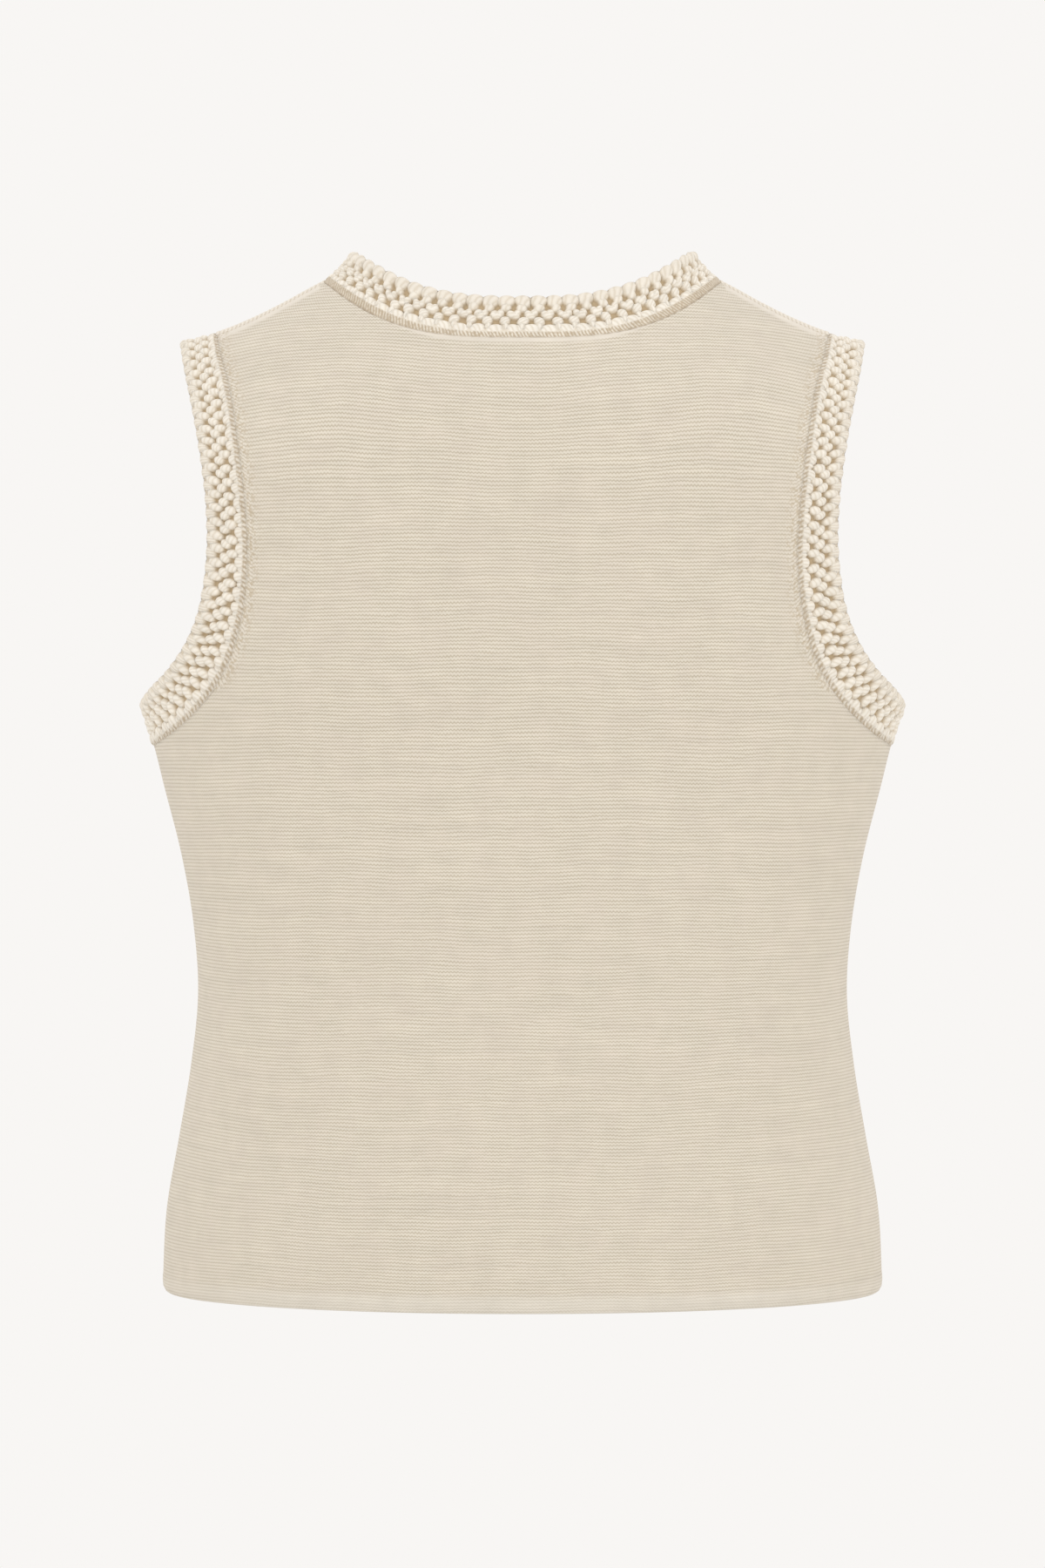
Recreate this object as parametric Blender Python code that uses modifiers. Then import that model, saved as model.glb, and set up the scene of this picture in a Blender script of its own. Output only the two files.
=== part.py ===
# Sleeveless knitted vest with crocheted bands, filled out as when worn and empty inside.
# +Z is up, -Y is the wearer's back, and the origin is midway between the shoulders.
# Lengths in the tables and in the named sizes are millimetres; the meshes are in metres.
import math

import bmesh
import bpy
import numpy as np

MM = 0.001
HEM_HEIGHT = -497.0
HEM_TURN = 9.0
HEM_RAISE = 0.5
HEM_STEP = 1.0
ARMHOLE_TURN = -203.0
KNIT_WALL = 1.5

# Cross-sections of the filled garment, from hem to neck.
FIGURE_COLUMNS = ("height", "half_width", "back_depth", "front_depth", "squareness")
FIGURE = np.array([
    (-497.0, 177.6, 110.0, 110.0, 2.0),
    (-455.0, 175.3, 107.5, 108.0, 2.0),
    (-420.0, 169.2, 104.0, 104.0, 2.05),
    (-385.0, 163.4, 101.0, 100.0, 2.1),
    (-350.0, 160.0, 98.5, 98.0, 2.1),
    (-317.0, 162.1, 97.0, 99.0, 2.15),
    (-282.0, 168.1, 96.0, 103.0, 2.2),
    (-247.0, 177.0, 96.0, 109.0, 2.2),
    (-229.0, 181.5, 96.5, 111.0, 2.2),
    (-207.0, 188.3, 98.0, 111.0, 2.25),
    (-180.0, 189.5, 99.5, 109.0, 2.3),
    (-140.0, 187.0, 100.0, 104.0, 2.4),
    (-100.0, 184.0, 100.0, 98.0, 2.55),
    (-60.0, 179.0, 96.0, 90.0, 2.7),
    (-30.0, 173.0, 90.0, 82.0, 2.8),
    (0.0, 168.0, 84.0, 76.0, 2.8),
    (30.0, 165.0, 78.0, 70.0, 2.8),
])

# The fold along the top of each shoulder, from the neck outwards.
RIDGE_COLUMNS = ("half_width", "height")
RIDGE = np.array([
    (98.0, -0.1),
    (105.0, -3.8),
    (117.0, -10.4),
    (134.6, -19.0),
    (150.5, -25.2),
    (159.0, -27.4),
    (169.0, -29.5),
    (190.0, -35.0),
])
NECK_RISE = 28.0
SHOULDER_DEPTH = 95.0
SHOULDER_POWER = 2.0

# One side of an armhole, from the top of the shoulder to below the arm.
ARMHOLE_COLUMNS = ("seam_half_width", "seam_height", "edge_half_width", "edge_height")
ARMHOLE = np.array([
    (150.5, -25.2, 169.0, -29.5),
    (147.4, -37.0, 166.3, -42.0),
    (141.6, -56.0, 161.7, -60.5),
    (136.8, -82.0, 156.6, -84.0),
    (132.8, -113.0, 152.6, -112.0),
    (131.6, -142.0, 152.2, -137.0),
    (134.4, -167.0, 155.4, -160.0),
    (142.6, -192.5, 162.6, -178.5),
    (157.0, -211.8, 173.0, -192.5),
    (171.5, -223.5, 182.6, -201.2),
    (181.5, -229.0, 188.3, -207.0),
])

NECK_HALF_WIDTH = 98.0
NECK_EDGE_HALF_WIDTH = 80.5
NECK_EDGE_TOP = 14.0

# What differs between the back and the front of the garment.
BACK = dict(
    sign=-1,
    depth="back_depth",
    scoop=0.0,
    shoulder_drop=0.7,
    neck_height=-34.9,
    neck_power=3.2,
    edge_height=-14.2,
    edge_depth=78.0,
    edge_round=0.7,
    edge_power=2.5,
)
FRONT = dict(
    sign=1,
    depth="front_depth",
    scoop=5.0,
    shoulder_drop=0.2,
    neck_height=-104.0,
    neck_power=2.6,
    edge_height=-84.0,
    edge_depth=88.0,
    edge_round=0.65,
    edge_power=2.4,
)

# Across a band, from its seam to its free edge outside, then back along the inside.
BAND_COLUMNS = ("across", "raised")
BAND = np.array([
    (0.0, 0.2),
    (0.16, 1.3),
    (0.36, 0.5),
    (0.84, 0.8),
    (1.0, -0.4),
    (1.0, -1.9),
    (0.5, -2.2),
    (0.0, -1.5),
])
BAND_LEAD = 0.4
CROCHET_REPEAT = 7.3
SCALLOP = 0.6
SCALLOP_POWER = 4
SOFTENING = 8

STRIP_RAISE = 0.3
STRIP_CROWN = 1.5
STRIP_TAPER = 0.25
STRIP_WALL = 1.8
SEAM_GAP = 0.4
STRIP_GAP = 0.4
SIDE_SEAM = 0.2

NECK_COLUMNS = 7
SHOULDER_COLUMNS = 4
SIDE_COLUMNS = 5
LOWER_ROWS = 14
ARMHOLE_ROWS = 11
CLOSER_TOP = 0.45
STRIP_STEPS = 8
STRIP_ROWS = 4
FINE_STEPS = 400

KNIT = dict(name="ecru_knit", color=(0.70, 0.63, 0.51, 1.0), roughness=0.95)
CROCHET = dict(name="ecru_crochet", color=(0.83, 0.78, 0.68, 1.0), roughness=0.9)
LINKING = dict(name="ecru_linking", color=(0.76, 0.70, 0.59, 1.0), roughness=0.95)


def smooth_curve(knots, values, at):
    """A smooth curve through the values, read at the places asked for."""
    slopes = np.gradient(values, knots)
    at = np.clip(at, knots[0], knots[-1])
    span = np.clip(np.searchsorted(knots, at, side="right") - 1, 0, len(knots) - 2)
    step = knots[span + 1] - knots[span]
    t = (at - knots[span]) / step
    return (
        values[span] * (1 + 2 * t) * (1 - t) ** 2
        + slopes[span] * step * t * (1 - t) ** 2
        + values[span + 1] * t ** 2 * (3 - 2 * t)
        + slopes[span + 1] * step * t ** 2 * (t - 1)
    )


def figure_size(column, height):
    """One size of the figure's cross-section at a height."""
    return smooth_curve(FIGURE[:, 0], FIGURE[:, FIGURE_COLUMNS.index(column)], height)


def ridge_height(x):
    """Height of the shoulder fold; between the shoulders it goes on up over the neck."""
    x = np.abs(x)
    over_neck = RIDGE[0, 1] + NECK_RISE * (1 - (x / NECK_HALF_WIDTH) ** 2)
    shoulder = smooth_curve(RIDGE[:, 0], RIDGE[:, 1], x)
    return np.where(x < NECK_HALF_WIDTH, over_neck, shoulder)


def section_depth(x, height, side):
    """How far a cross-section stands out at x from the plane of the side seams."""
    power = figure_size("squareness", height)
    across = np.minimum(np.abs(x) / figure_size("half_width", height), 1)
    return figure_size(side["depth"], height) * (1 - across ** power) ** (1 / power)


def surface_y(x, height, side):
    """The cloth's outer surface, rounded over towards the shoulder fold."""
    below = np.clip((ridge_height(x) - height) / SHOULDER_DEPTH, 0, 1)
    rounding = (1 - (1 - below) ** SHOULDER_POWER) ** (1 / SHOULDER_POWER)
    return side["sign"] * section_depth(x, height, side) * rounding


def fold_drop(x, reach, side):
    """How far below the shoulder fold the surface lies, at a distance before or behind it."""
    share = np.minimum(np.abs(reach) / section_depth(x, ridge_height(x), side), 1)
    return SHOULDER_DEPTH * (1 - (1 - share ** SHOULDER_POWER) ** (1 / SHOULDER_POWER))


def distances(line):
    """Distance along a line of points, at each of them."""
    steps = np.linalg.norm(np.diff(line, axis=0), axis=1)
    return np.concatenate([[0.0], np.cumsum(steps)])


def evenly(line, count):
    """The line again, as count equal steps; columns after x, y and z go along with it."""
    length = distances(line[:, :3])
    at = np.linspace(0, length[-1], count + 1)
    return np.stack([np.interp(at, length, column) for column in line.T], axis=1)


def repeats(line):
    """How many crochet repeats fit along a line."""
    return round(distances(line[:, :3])[-1] / CROCHET_REPEAT)


def armhole_line(share, side, line):
    """An armhole's seam or free edge; share is 0 at the shoulder and 1 under the arm."""
    knots = distances(ARMHOLE[:, :2])
    first = ARMHOLE_COLUMNS.index(line + "_half_width")
    x = smooth_curve(knots / knots[-1], ARMHOLE[:, first], share)
    height = smooth_curve(knots / knots[-1], ARMHOLE[:, first + 1], share)
    x = x - side["scoop"] * np.sin(math.pi * share) ** 2
    return np.stack([x, surface_y(x, height, side), height], axis=1)


def armhole_shares(side):
    """Places up the armhole's seam, from its inward turn to the shoulder, closer at the top."""
    share = np.linspace(1, 0, FINE_STEPS)
    x, _, height = armhole_line(share, side, "seam").T
    bottom = np.interp(ARMHOLE_TURN, height, share)
    top = np.interp(-side["shoulder_drop"], height - ridge_height(x), share)
    share = np.linspace(bottom, top, FINE_STEPS)
    length = distances(armhole_line(share, side, "seam"))
    step = np.sin(np.linspace(0, math.pi / 2, ARMHOLE_ROWS + 1)) * CLOSER_TOP
    step += np.linspace(0, 1, ARMHOLE_ROWS + 1) * (1 - CLOSER_TOP)
    return np.interp(step * length[-1], length, share)


def underarm_shares(side):
    """Places along the armhole's seam from where it turns inwards to below the arm."""
    share = np.linspace(armhole_shares(side)[0], 1, FINE_STEPS)
    x, _, height = armhole_line(share, side, "seam").T
    turn = np.arcsin(np.minimum(x / figure_size("half_width", height), 1))
    return np.interp(np.linspace(turn[0], math.pi / 2, SIDE_COLUMNS + 1), turn, share)


def top_height(x, side):
    """Height of a panel's top edge: its neck seam, then its shoulder seam."""
    low = side["neck_height"]
    corner = RIDGE[0, 1] - side["shoulder_drop"]
    neck = low + (corner - low) * (x / NECK_HALF_WIDTH) ** side["neck_power"]
    return np.where(x < NECK_HALF_WIDTH, neck, ridge_height(x) - side["shoulder_drop"])


def upper_grid(side):
    """Half-widths and heights in half a panel above the turn of its armhole."""
    edge = armhole_line(armhole_shares(side), side, "seam")
    wide, high = edge[:, :1], edge[:, 2:]
    corner = NECK_HALF_WIDTH / wide[-1, 0]
    columns = corner * np.sin(np.linspace(0, math.pi / 2, NECK_COLUMNS + 1))
    columns = np.append(columns, np.linspace(corner, 1, SHOULDER_COLUMNS + 1)[1:])
    rise = top_height(columns * wide[-1], side) - high[-1]
    return wide * columns, high + (high - high[0]) / (high[-1] - high[0]) * rise


def lower_grid(side, x, height):
    """Half-widths and heights of the rows from the hem up to a row that has its own."""
    fold = HEM_HEIGHT + HEM_TURN
    share = (x / figure_size("half_width", height))[None]
    step = np.linspace(0, 1, LOWER_ROWS + 1)[:-1, None]
    start = fold + HEM_STEP / 2
    body = start + step * (height - start)
    hem = np.array([[HEM_HEIGHT], [fold - HEM_STEP / 2]]) + 0 * share
    height = np.concatenate([hem, body])
    return share * figure_size("half_width", height), height


def panel_grid(side):
    """The outer surface of half a panel, as rows of points from its middle to its side."""
    x, height = upper_grid(side)
    under = armhole_line(underarm_shares(side)[1:], side, "seam")
    turn_x = np.append(x[0], under[:, 0])
    turn_height = np.append(height[0], under[:, 2])
    low_x, low_height = lower_grid(side, turn_x, turn_height)
    gone = ((0, 0), (0, SIDE_COLUMNS))
    x = np.pad(x[1:], gone, constant_values=np.nan)
    height = np.pad(height[1:], gone, constant_values=np.nan)
    x = np.concatenate([low_x, turn_x[None], x])
    height = np.concatenate([low_height, turn_height[None], height])
    y = surface_y(x, height, side)
    y = side["sign"] * np.maximum(np.abs(y), SIDE_SEAM)
    turned = np.where(height < HEM_HEIGHT + HEM_TURN, 1 + HEM_RAISE / turn_x[-1], 1)
    return np.stack([x * turned, y * turned, height], axis=2)


def unit(vectors):
    return vectors / np.linalg.norm(vectors, axis=-1, keepdims=True)


def neck_seam(side):
    """One side's neck seam, from left to right, and which way the cloth heads there."""
    grid = panel_grid(side)
    half = np.concatenate([grid[-1], unit(grid[-1] - grid[-2])], axis=1)[:NECK_COLUMNS + 1]
    fold = (NECK_HALF_WIDTH, 0, RIDGE[0, 1], RIDGE[0, 0] - RIDGE[1, 0], 0, RIDGE[0, 1] - RIDGE[1, 1])
    half = np.concatenate([half, [fold]])
    return np.concatenate([half[:0:-1] * (-1, 1, 1, -1, 1, 1), half])


def neck_edge(side):
    """The neck's free edge on one side, from left to right."""
    turn = np.linspace(-math.pi / 2, math.pi / 2, FINE_STEPS)
    low = side["edge_height"]
    x = NECK_EDGE_HALF_WIDTH * np.sin(turn)
    y = side["sign"] * side["edge_depth"] * np.cos(turn) ** side["edge_round"]
    height = low + (NECK_EDGE_TOP - low) * np.abs(np.sin(turn)) ** side["edge_power"]
    return np.stack([x, y, height], axis=1)


def neck_ring():
    """Seam line and free edge of the neck band, each a closed ring with a point per section."""
    seam, edge = [], []
    for side, way in ((BACK, 1), (FRONT, -1)):
        count = 2 * repeats(neck_seam(side))
        seam.append(evenly(neck_seam(side), count)[::way][:-1])
        edge.append(evenly(neck_edge(side), count)[::way][:-1])
    return np.concatenate(seam), np.concatenate(edge)


def armhole_seam(side):
    """One side's armhole seam, from the shoulder down, and which way the cloth heads there."""
    grid = panel_grid(side)
    turn, last = len(grid) - ARMHOLE_ROWS - 1, NECK_COLUMNS + SHOULDER_COLUMNS
    upper, under = grid[turn:, last], grid[turn, last:]
    outwards = unit(upper - grid[turn:, last - 1])
    upwards = unit(under - grid[turn - 1, last:])
    outwards[0] += upwards[0]
    top = upper[-1, 0]
    fold = (top, 0, ridge_height(top))
    way = (top - NECK_HALF_WIDTH, 0, ridge_height(top) - RIDGE[0, 1])
    line = np.concatenate([[fold], upper[::-1], under[1:]])
    line[-1, 1] = 0
    return np.concatenate([line, np.concatenate([[way], outwards[::-1], upwards[1:]])], axis=1)


def armhole_half(side):
    """Seam line, heading and free edge of one side of an armhole band."""
    seam = armhole_seam(side)
    share = np.concatenate([[0.0], armhole_shares(side)[::-1], underarm_shares(side)[1:]])
    known = evenly(np.column_stack([seam, share]), 2 * repeats(seam))
    return known[:, :6], armhole_line(known[:, 6], side, "edge")


def armhole_ring(across_x):
    """Seam line and free edge of an armhole band; across_x is 1 on the right and -1 on the left."""
    back_seam, back_edge = armhole_half(BACK)
    front_seam, front_edge = armhole_half(FRONT)
    seam = np.concatenate([back_seam[:-1], front_seam[:0:-1]])
    edge = np.concatenate([back_edge[:-1], front_edge[:0:-1]])
    return seam * (across_x, 1, 1, across_x, 1, 1), edge * (across_x, 1, 1)


def softened(vectors):
    """The same vectors round a closed ring, each turned towards its neighbours."""
    for _ in range(SOFTENING):
        vectors = (np.roll(vectors, 1, axis=0) + 2 * vectors + np.roll(vectors, -1, axis=0)) / 4
    return unit(vectors)


def band_points(seam, edge, turn):
    """Sections of a band that leaves its seam as the cloth heads and bends over to its free edge.

    turn is 1 where the sections run anticlockwise as seen from inside the garment, or else -1.
    """
    start, heading = seam[:, :3], seam[:, 3:]
    around = softened(np.roll(start, -1, axis=0) - np.roll(start, 1, axis=0))
    heading = softened(heading - around * (heading * around).sum(axis=1, keepdims=True))
    edge_around = softened(np.roll(edge, -1, axis=0) - np.roll(edge, 1, axis=0))
    width = np.linalg.norm(edge - start, axis=1, keepdims=True)
    bend = start + heading * width * BAND_LEAD
    start = start + heading * SEAM_GAP
    share = BAND[:, :1]
    line = [p[:, None] for p in (start, bend, edge)]
    points = line[0] * (1 - share) ** 2 + line[1] * 2 * share * (1 - share) + line[2] * share ** 2
    across = unit((line[1] - line[0]) * (1 - share) + (line[2] - line[1]) * share)
    turning = around[:, None] * (1 - share) + edge_around[:, None] * share
    out = unit(np.cross(turning, across)) * turn
    crest = (-SCALLOP * (-1.0) ** np.arange(len(seam)))[:, None, None]
    return points + across * crest * share ** SCALLOP_POWER + out * BAND[:, 1:]


def material(look):
    made = bpy.data.materials.new(look["name"])
    made.use_nodes = True
    shader = made.node_tree.nodes["Principled BSDF"]
    shader.inputs["Base Color"].default_value = look["color"]
    shader.inputs["Roughness"].default_value = look["roughness"]
    return made


def grid_object(name, points, look, collection):
    """A sheet of quads laid over rows of points, and cut away where there are none."""
    rows, columns = points.shape[0] - 1, points.shape[1] - 1
    mesh = bpy.data.meshes.new(name)
    grid = bmesh.new()
    bmesh.ops.create_grid(grid, x_segments=columns, y_segments=rows, size=1)
    for corner in list(grid.verts):
        column = round((corner.co.x + 1) / 2 * columns)
        row = round((corner.co.y + 1) / 2 * rows)
        if np.isnan(points[row, column, 0]):
            grid.verts.remove(corner)
        else:
            corner.co = points[row, column] * MM
    grid.to_mesh(mesh)
    grid.free()
    mesh.materials.append(look)
    made = bpy.data.objects.new(name, mesh)
    collection.objects.link(made)
    return made


def thicken(made, wall):
    solid = made.modifiers.new("wall", "SOLIDIFY")
    solid.thickness = wall * MM
    solid.offset = -1
    solid.use_even_offset = True
    solid.use_quality_normals = True


def add_panel(name, side, look, collection):
    """A knitted panel: half of it, mirrored at the middle, with a wall inwards."""
    points = panel_grid(side) * (-side["sign"], 1, 1)
    panel = grid_object(name, points, look, collection)
    mirror = panel.modifiers.new("halves", "MIRROR")
    mirror.merge_threshold = 0.0001
    thicken(panel, KNIT_WALL)


def strip_points(across_x):
    """The linked strip over one shoulder, between the two panels' shoulder edges."""
    outer = upper_grid(BACK)[0][-1, -1]
    x = np.linspace(NECK_HALF_WIDTH + STRIP_GAP, outer - STRIP_GAP, STRIP_STEPS + 1)
    back, front = (surface_y(x, ridge_height(x) - s["shoulder_drop"], s) for s in (BACK, FRONT))
    share = np.linspace(0, 1, STRIP_ROWS + 1)[:, None]
    y = back + STRIP_GAP + share * (front - back - 2 * STRIP_GAP)
    drop = np.where(y < 0, fold_drop(x, y, BACK), fold_drop(x, y, FRONT))
    ends = np.sin(np.linspace(0, math.pi, STRIP_STEPS + 1)) ** STRIP_TAPER
    raised = STRIP_RAISE + STRIP_CROWN * np.sin(math.pi * share) * ends
    points = np.stack([x + 0 * y, y, ridge_height(x) - drop + raised], axis=2)
    if across_x < 0:
        points = points[:, ::-1] * (-1, 1, 1)
    return points


def add_strip(name, across_x, look, collection):
    strip = grid_object(name, strip_points(across_x), look, collection)
    thicken(strip, STRIP_WALL)


def add_band(name, seam, edge, turn, look, collection):
    """A crocheted band: a ring with the band's profile for its section."""
    bpy.ops.mesh.primitive_torus_add(major_segments=len(seam), minor_segments=len(BAND))
    band = bpy.context.object
    band.name = name
    band.data.name = name
    points = band_points(seam, edge, turn) * MM
    band.data.vertices.foreach_set("co", points.ravel())
    ring = bmesh.new()
    ring.from_mesh(band.data)
    bmesh.ops.recalc_face_normals(ring, faces=ring.faces)
    ring.to_mesh(band.data)
    ring.free()
    band.data.shade_smooth()
    band.data.materials.append(look)
    for home in band.users_collection:
        home.objects.unlink(band)
    collection.objects.link(band)


def main():
    for old in list(bpy.data.objects):
        bpy.data.objects.remove(old)
    vest = bpy.data.collections.new("knitted_vest")
    bpy.context.scene.collection.children.link(vest)
    knit, crochet, linking = (material(look) for look in (KNIT, CROCHET, LINKING))
    add_panel("back_panel", BACK, knit, vest)
    add_panel("front_panel", FRONT, knit, vest)
    add_band("neck_band", *neck_ring(), 1, crochet, vest)
    for name, across_x in (("right", 1), ("left", -1)):
        add_band("armhole_band_" + name, *armhole_ring(across_x), across_x, crochet, vest)
        add_strip("shoulder_seam_" + name, across_x, linking, vest)


main()
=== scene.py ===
import math

import bmesh
import bpy
import numpy as np
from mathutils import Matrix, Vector


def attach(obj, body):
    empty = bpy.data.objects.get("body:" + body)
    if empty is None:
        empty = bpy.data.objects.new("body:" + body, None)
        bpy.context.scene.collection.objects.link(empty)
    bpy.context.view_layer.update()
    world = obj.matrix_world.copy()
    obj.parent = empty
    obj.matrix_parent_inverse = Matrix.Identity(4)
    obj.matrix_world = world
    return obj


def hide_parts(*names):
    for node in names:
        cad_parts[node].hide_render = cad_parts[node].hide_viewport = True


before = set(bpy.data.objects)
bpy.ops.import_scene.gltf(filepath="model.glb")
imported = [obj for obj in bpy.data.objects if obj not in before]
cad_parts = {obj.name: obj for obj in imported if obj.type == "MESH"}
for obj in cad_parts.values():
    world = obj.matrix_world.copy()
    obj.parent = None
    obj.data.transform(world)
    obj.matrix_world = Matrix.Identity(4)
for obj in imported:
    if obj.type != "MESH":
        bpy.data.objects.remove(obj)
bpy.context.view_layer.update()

# Sleeveless knitted vest with crocheted bands, seen from the wearer's back.
# Sizes in the tables are millimetres, meshes are metres; +Z is up and -Y is the wearer's back.

mm = 0.001

figure = {  # cross-sections of the filled garment, hem to neck
    "height": [-497, -455, -420, -385, -350, -317, -282, -247, -229, -207, -180, -140, -100, -60, -30, 0, 30],
    "halfWidth": [177.6, 175.3, 169.2, 163.4, 160, 162.1, 168.1, 177, 181.5, 188.3, 189.5, 187, 184, 179, 173,
                  168, 165],
    "backDepth": [110, 107.5, 104, 101, 98.5, 97, 96, 96, 96.5, 98, 99.5, 100, 100, 96, 90, 84, 78],
    "frontDepth": [110, 108, 104, 100, 98, 99, 103, 109, 111, 111, 109, 104, 98, 90, 82, 76, 70],
    "squareness": [2, 2, 2.05, 2.1, 2.1, 2.15, 2.2, 2.2, 2.2, 2.25, 2.3, 2.4, 2.55, 2.7, 2.8, 2.8, 2.8],
}

shoulder = {  # the fold along the top of each shoulder
    "x": [98, 105, 117, 134.6, 150.5, 159, 169, 190],
    "z": [-0.1, -3.8, -10.4, -19, -25.2, -27.4, -29.5, -35],
    "neckRise": 28,
    "depth": 95,
    "power": 2.0,
}

armhole = {  # one side of an armhole, shoulder to underarm
    "seamX": [150.5, 147.4, 141.6, 136.8, 132.8, 131.6, 134.4, 142.6, 157, 171.5, 181.5],
    "seamZ": [-25.2, -37, -56, -82, -113, -142, -167, -192.5, -211.8, -223.5, -229],
    "edgeX": [169, 166.3, 161.7, 156.6, 152.6, 152.2, 155.4, 162.6, 173, 182.6, 188.3],
    "edgeZ": [-29.5, -42, -60.5, -84, -112, -137, -160, -178.5, -192.5, -201.2, -207],
    "turn": -203,
}

neck = {"halfWidth": 98, "edgeHalfWidth": 84.0, "edgeTop": 14, "foldWay": (-7, 0, 3.7)}

back = {"sign": -1, "depth": "backDepth", "scoop": 0, "shoulderDrop": 0.7, "neckZ": -34.9, "neckPower": 3.2,
        "edgeZ": -14.2, "edgeDepth": 78, "edgeRound": 0.7, "edgePower": 2.65,
        "flatWidth": 457, "flatLength": 496, "flatArea": 183500}

front = {"sign": 1, "depth": "frontDepth", "scoop": 5, "shoulderDrop": 0.2, "neckZ": -104, "neckPower": 2.6,
         "edgeZ": -84, "edgeDepth": 88, "edgeRound": 0.65, "edgePower": 2.4,
         "flatWidth": 457, "flatLength": 496, "flatArea": 174200}

panel = {
    "wall": 1.4, "sideGap": 0.12,  # between back and front at the side seam
    "neckColumns": 44, "shoulderColumns": 28, "sideColumns": 20, "lowerRows": 120, "armholeRows": 120,
    "hemZ": -497, "hemTurn": 9, "hemReach": 177,
    "hemRows": [0, 0.35, 0.9, 3.0, 6.0, 8.2, 8.8],  # rows of points over the lower edge
    "hemUp": [0, 0.35, 0.9, 3, 6, 8.2, 9.5],
    "hemOut": [-3.0, -2.3, -1.5, -0.3, 0.15, 0.15, 0],  # how far the hem stands out at hemUp
    "wale": 1.68,  # width of a stitch
    "courseZ": [-497, -489, -470, -400, -345, -300, -262, -230, 0],  # from hem to shoulder
    "course": [1.42, 1.5, 1.58, 1.6, 1.66, 1.7, 1.78, 1.81, 1.81],  # height of a stitch at courseZ
    "rises": [  # where rows bend: mm up, at this height, spread, from the middle, over, power
        (6.0, -55, 42, 12, 75, 1.2),  # under the neck
        (-5.0, -58, 34, 108, 38, 1.5),  # below the shoulders
        (2.6, -385, 75, 120, 45, 2),  # at the sides of the waist
    ],
    "climb": 0.9, "climbWithin": 3.4,  # rows turn up beside the armhole
    "sway": 0.45, "ripple": 0.3, "waistFold": 0.5, "bustFold": 0.9, "pucker": 0.35,  # mm outwards
    "foldsFrom": -487, "fadeHem": 20, "fadeTop": 14, "fadeArmhole": 12, "fadeSide": 15,  # flat at every edge
    "rollHeight": 0.6, "rollAt": 2.4, "rollWidth": 1.5,  # the row that rolls up along the shoulder seam
    "underarmZ": -225, "farAway": 50,  # below this height a panel has no armhole beside it
}


def smoothCurve(knots, values, at):
    knots = np.asarray(knots, float)
    values = np.asarray(values, float)
    slopes = np.gradient(values, knots)
    at = np.clip(at, knots[0], knots[-1])
    span = np.clip(np.searchsorted(knots, at, side="right") - 1, 0, len(knots) - 2)
    step = knots[span + 1] - knots[span]
    t = (at - knots[span]) / step
    return (values[span] * (1 + 2 * t) * (1 - t) ** 2 + slopes[span] * step * t * (1 - t) ** 2
            + values[span + 1] * t ** 2 * (3 - 2 * t) + slopes[span + 1] * step * t ** 2 * (t - 1))


def figureSize(column, z):
    return smoothCurve(figure["height"], figure[column], z)


def foldHeight(x):  # the shoulder fold, going on up over the neck
    x = np.abs(x)
    overNeck = shoulder["z"][0] + shoulder["neckRise"] * (1 - (x / neck["halfWidth"]) ** 2)
    return np.where(x < neck["halfWidth"], overNeck, smoothCurve(shoulder["x"], shoulder["z"], x))


def sectionDepth(x, z, side):
    power = figureSize("squareness", z)
    across = np.minimum(np.abs(x) / figureSize("halfWidth", z), 1)
    return figureSize(side["depth"], z) * (1 - across ** power) ** (1 / power)


def surfaceY(x, z, side):  # the cloth's outer face
    below = np.clip((foldHeight(x) - z) / shoulder["depth"], 0, 1)
    rounding = (1 - (1 - below) ** shoulder["power"]) ** (1 / shoulder["power"])
    return side["sign"] * sectionDepth(x, z, side) * rounding


def foldDrop(x, reach, side):
    share = np.minimum(np.abs(reach) / sectionDepth(x, foldHeight(x), side), 1)
    return shoulder["depth"] * (1 - (1 - share ** shoulder["power"]) ** (1 / shoulder["power"]))


def distances(line):
    return np.concatenate([[0.0], np.cumsum(np.linalg.norm(np.diff(line, axis=0), axis=1))])


def repeatLength(line):  # crochet repeats lie a little longer where a band turns over the shoulder
    return distances(line[:, :3] * (1, 0.65, 1))


def evenly(line, count):
    length = repeatLength(line)
    at = np.linspace(0, length[-1], count + 1)
    return np.stack([np.interp(at, length, column) for column in line.T], axis=1)


def unit(vectors):
    return vectors / np.linalg.norm(vectors, axis=-1, keepdims=True)


def armholeLine(share, side, line):  # share is 0 at the shoulder and 1 under the arm
    knots = distances(np.stack([armhole["seamX"], armhole["seamZ"]], axis=1))
    x = smoothCurve(knots / knots[-1], armhole[line + "X"], share)
    z = smoothCurve(knots / knots[-1], armhole[line + "Z"], share)
    x = x - side["scoop"] * np.sin(math.pi * share) ** 2
    return np.stack([x, surfaceY(x, z, side), z], axis=1)


def armholeShares(side):
    share = np.linspace(1, 0, 400)
    x, _, z = armholeLine(share, side, "seam").T
    bottom = np.interp(armhole["turn"], z, share)
    top = np.interp(-side["shoulderDrop"], z - foldHeight(x), share)
    share = np.linspace(bottom, top, 400)
    length = distances(armholeLine(share, side, "seam"))
    step = np.linspace(0, 1, panel["armholeRows"] + 1)
    step = 0.45 * np.sin(step * math.pi / 2) + 0.55 * step  # closer rows near the shoulder
    return np.interp(step * length[-1], length, share)


def underarmShares(side):
    share = np.linspace(armholeShares(side)[0], 1, 400)
    x, _, z = armholeLine(share, side, "seam").T
    turn = np.arcsin(np.minimum(x / figureSize("halfWidth", z), 1))
    return np.interp(np.linspace(turn[0], math.pi / 2, panel["sideColumns"] + 1), turn, share)


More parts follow.
